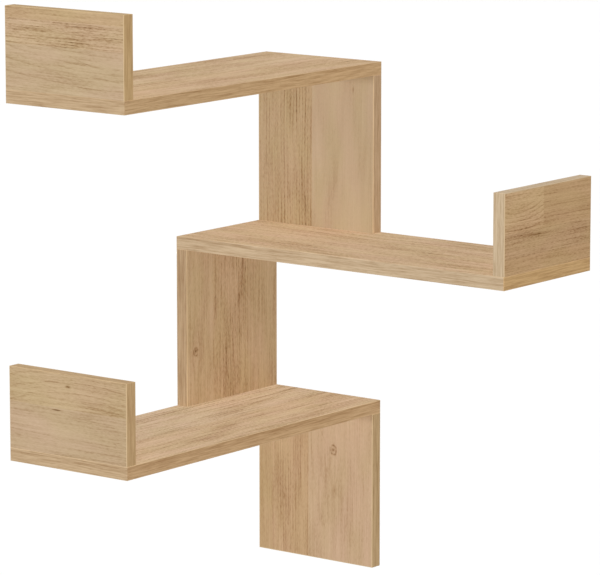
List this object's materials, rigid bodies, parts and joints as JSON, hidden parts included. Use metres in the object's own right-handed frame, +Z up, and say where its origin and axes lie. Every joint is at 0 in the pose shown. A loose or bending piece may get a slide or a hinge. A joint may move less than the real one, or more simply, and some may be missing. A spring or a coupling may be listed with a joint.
{
  "type": "wall-hung corner shelf",
  "caption": "Zig-zag shelf for a room's corner: oak-look boards step from one wall to the other on staggered uprights, with a low end panel at each shelf's free end.",
  "frame": {"origin": "the corner where the two walls meet, level with the lower end of the lowest upright", "axes": "+X along the right wall, away from the corner; -Y along the left wall, away from the corner; +Y into the right wall; +Z up"},
  "size_m": [0.545, 0.545, 0.817],
  "materials": {
    "oak_board": "particle board faced with satin light-oak melamine",
    "oak_edge_band": "satin light-oak ABS edge band",
    "plated_hanger": "stamped steel, zinc plated",
    "plated_screw": "cold-formed steel, zinc plated",
    "cover_cap": "moulded plastic in a light oak colour",
    "zinc_cam": "die-cast zinc, tumbled",
    "steel_bolt": "turned steel, zinc plated",
    "beech_dowel": "bare turned beech"
  },
  "bodies": {
    "root": {"bottom_shelf": "oak_board", "bottom_shelf_edge_bands": "oak_edge_band", "middle_shelf": "oak_board", "middle_shelf_edge_bands": "oak_edge_band", "top_shelf": "oak_board", "top_shelf_edge_bands": "oak_edge_band", "lower_upright": "oak_board", "lower_upright_edge_bands": "oak_edge_band", "middle_upright": "oak_board", "middle_upright_edge_bands": "oak_edge_band", "upper_upright": "oak_board", "upper_upright_edge_bands": "oak_edge_band", "bottom_end_panel": "oak_board", "bottom_end_panel_edge_bands": "oak_edge_band", "middle_end_panel": "oak_board", "middle_end_panel_edge_bands": "oak_edge_band", "top_end_panel": "oak_board", "top_end_panel_edge_bands": "oak_edge_band", "lower_upright_hanger_plates": "plated_hanger", "lower_upright_hanger_screws": "plated_screw", "middle_upright_hanger_plates": "plated_hanger", "middle_upright_hanger_screws": "plated_screw", "upper_upright_hanger_plates": "plated_hanger", "upper_upright_hanger_screws": "plated_screw", "bottom_end_panel_cover_caps": "cover_cap", "middle_end_panel_cover_caps": "cover_cap", "top_end_panel_cover_caps": "cover_cap", "lower_upright_top_cam_locks": "zinc_cam", "lower_upright_top_cam_bolts": "steel_bolt", "lower_upright_top_dowels": "beech_dowel", "middle_upright_bottom_cam_locks": "zinc_cam", "middle_upright_bottom_cam_bolts": "steel_bolt", "middle_upright_bottom_dowels": "beech_dowel", "middle_upright_top_cam_locks": "zinc_cam", "middle_upright_top_cam_bolts": "steel_bolt", "middle_upright_top_dowels": "beech_dowel", "upper_upright_bottom_cam_locks": "zinc_cam", "upper_upright_bottom_cam_bolts": "steel_bolt", "upper_upright_bottom_dowels": "beech_dowel", "upper_upright_top_cam_locks": "zinc_cam", "upper_upright_top_cam_bolts": "steel_bolt", "upper_upright_top_dowels": "beech_dowel", "bottom_end_panel_cam_locks": "zinc_cam", "bottom_end_panel_cam_bolts": "steel_bolt", "bottom_end_panel_dowels": "beech_dowel", "middle_end_panel_cam_locks": "zinc_cam", "middle_end_panel_cam_bolts": "steel_bolt", "middle_end_panel_dowels": "beech_dowel", "top_end_panel_cam_locks": "zinc_cam", "top_end_panel_cam_bolts": "steel_bolt", "top_end_panel_dowels": "beech_dowel"}
  },
  "joints": []
}
